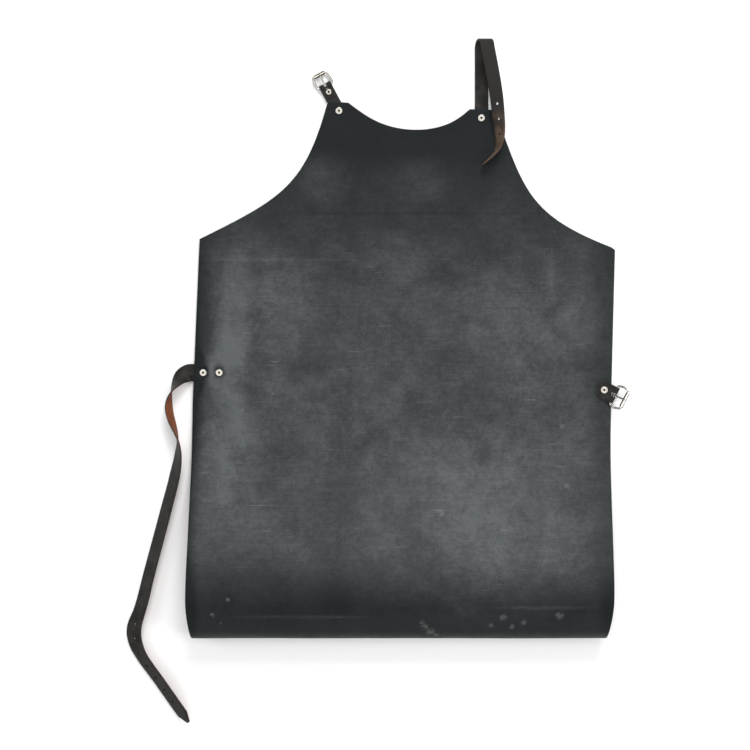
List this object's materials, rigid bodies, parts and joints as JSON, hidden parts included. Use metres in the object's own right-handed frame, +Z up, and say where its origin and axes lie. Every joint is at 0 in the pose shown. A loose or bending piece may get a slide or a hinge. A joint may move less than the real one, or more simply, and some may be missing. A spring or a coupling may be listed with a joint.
{
  "type": "welding apron",
  "caption": "Black leather bib apron for welding, laid flat with its hem curled under, with riveted neck and waist straps and roller buckles.",
  "frame": {"origin": "on the floor the apron lies on, under the middle of its bounding box", "axes": "+X across the apron from the waist strap to the waist buckle, +Y along it from the curled hem to the bib, +Z up off the floor, out of the leather's grain side"},
  "size_m": [0.732, 0.9953, 0.0712],
  "materials": {
    "apron_leather": "matt black chrome-tanned grain with grey scuffs",
    "strap_leather": "satin black grain over orange-brown flesh and edges",
    "rivet_nickel": "bright nickel plate",
    "buckle_nickel": "bright nickel plate"
  },
  "bodies": {
    "panel": {"apron_panel": "apron_leather", "neck_strap_rivet": "rivet_nickel", "neck_strap_washer": "rivet_nickel", "neck_tab_anchor_rivet": "rivet_nickel", "neck_tab_anchor_washer": "rivet_nickel", "waist_strap_root": "strap_leather", "waist_strap_inner_rivet": "rivet_nickel", "waist_strap_inner_washer": "rivet_nickel", "waist_strap_outer_rivet": "rivet_nickel", "waist_strap_outer_washer": "rivet_nickel", "waist_tab_rivet": "rivet_nickel", "waist_tab_washer": "rivet_nickel"},
    "neck_strap": {"neck_strap_lower": "strap_leather"},
    "neck_strap_end": {"neck_strap_upper": "strap_leather"},
    "neck_tab_body": {"neck_tab": "strap_leather", "neck_tab_fold_rivet": "rivet_nickel", "neck_tab_fold_washer": "rivet_nickel"},
    "neck_buckle": {"neck_buckle_frame": "buckle_nickel"},
    "neck_prong": {"neck_buckle_prong": "buckle_nickel"},
    "neck_roller": {"neck_buckle_roller": "buckle_nickel"},
    "waist_tab_body": {"waist_tab": "strap_leather"},
    "waist_buckle": {"waist_buckle_frame": "buckle_nickel"},
    "waist_prong": {"waist_buckle_prong": "buckle_nickel"},
    "waist_roller": {"waist_buckle_roller": "buckle_nickel"},
    "waist_strap_run": {"waist_strap": "strap_leather"}
  },
  "joints": [
    {"name": "neck_strap_swivel", "type": "hinge", "parent": "panel", "child": "neck_strap", "pos_m": [0.1496, 0.384, 0.0022], "axis": [0, 0, 1], "range_deg": [-25, 25]},
    {"name": "neck_strap_fold", "type": "hinge", "parent": "neck_strap", "child": "neck_strap_end", "pos_m": [0.153, 0.4984, 0.0124], "axis": [-1, 0, 0], "range_deg": [0, 80]},
    {"name": "neck_tab_swivel", "type": "hinge", "parent": "panel", "child": "neck_tab_body", "pos_m": [-0.0577, 0.3945, 0.002], "axis": [0, 0, 1], "range_deg": [-30, 30]},
    {"name": "neck_buckle_pivot", "type": "hinge", "parent": "neck_tab_body", "child": "neck_buckle", "pos_m": [-0.07745, 0.43088, 0.0047], "axis": [0.8788, 0.4772, 0], "range_deg": [0, 60]},
    {"name": "neck_prong_pivot", "type": "hinge", "parent": "neck_buckle", "child": "neck_prong", "pos_m": [-0.07745, 0.43088, 0.0047], "axis": [0.8788, 0.4772, 0], "range_deg": [0, 40]},
    {"name": "neck_roller_spin", "type": "hinge", "parent": "neck_buckle", "child": "neck_roller", "pos_m": [-0.08619, 0.44697, 0.0047], "axis": [0.8788, 0.4772, 0], "continuous": true},
    {"name": "waist_tab_swivel", "type": "hinge", "parent": "panel", "child": "waist_tab_body", "pos_m": [0.3276, -0.0115, 0.008], "axis": [0, 0, 1], "range_deg": [-25, 25]},
    {"name": "waist_buckle_pivot", "type": "hinge", "parent": "waist_tab_body", "child": "waist_buckle", "pos_m": [0.34186, -0.01876, 0.0103], "axis": [-0.454, -0.891, 0], "range_deg": [-20, 45]},
    {"name": "waist_prong_pivot", "type": "hinge", "parent": "waist_buckle", "child": "waist_prong", "pos_m": [0.34186, -0.01876, 0.0103], "axis": [-0.454, -0.891, 0], "range_deg": [0, 35]},
    {"name": "waist_roller_spin", "type": "hinge", "parent": "waist_buckle", "child": "waist_roller", "pos_m": [0.35595, -0.02594, 0.01801], "axis": [-0.454, -0.891, 0], "continuous": true},
    {"name": "waist_strap_flex", "type": "hinge", "parent": "panel", "child": "waist_strap_run", "pos_m": [-0.27515, 0.0136, 0.0037], "axis": [0, 1, 0], "range_deg": [0, 45]}
  ]
}
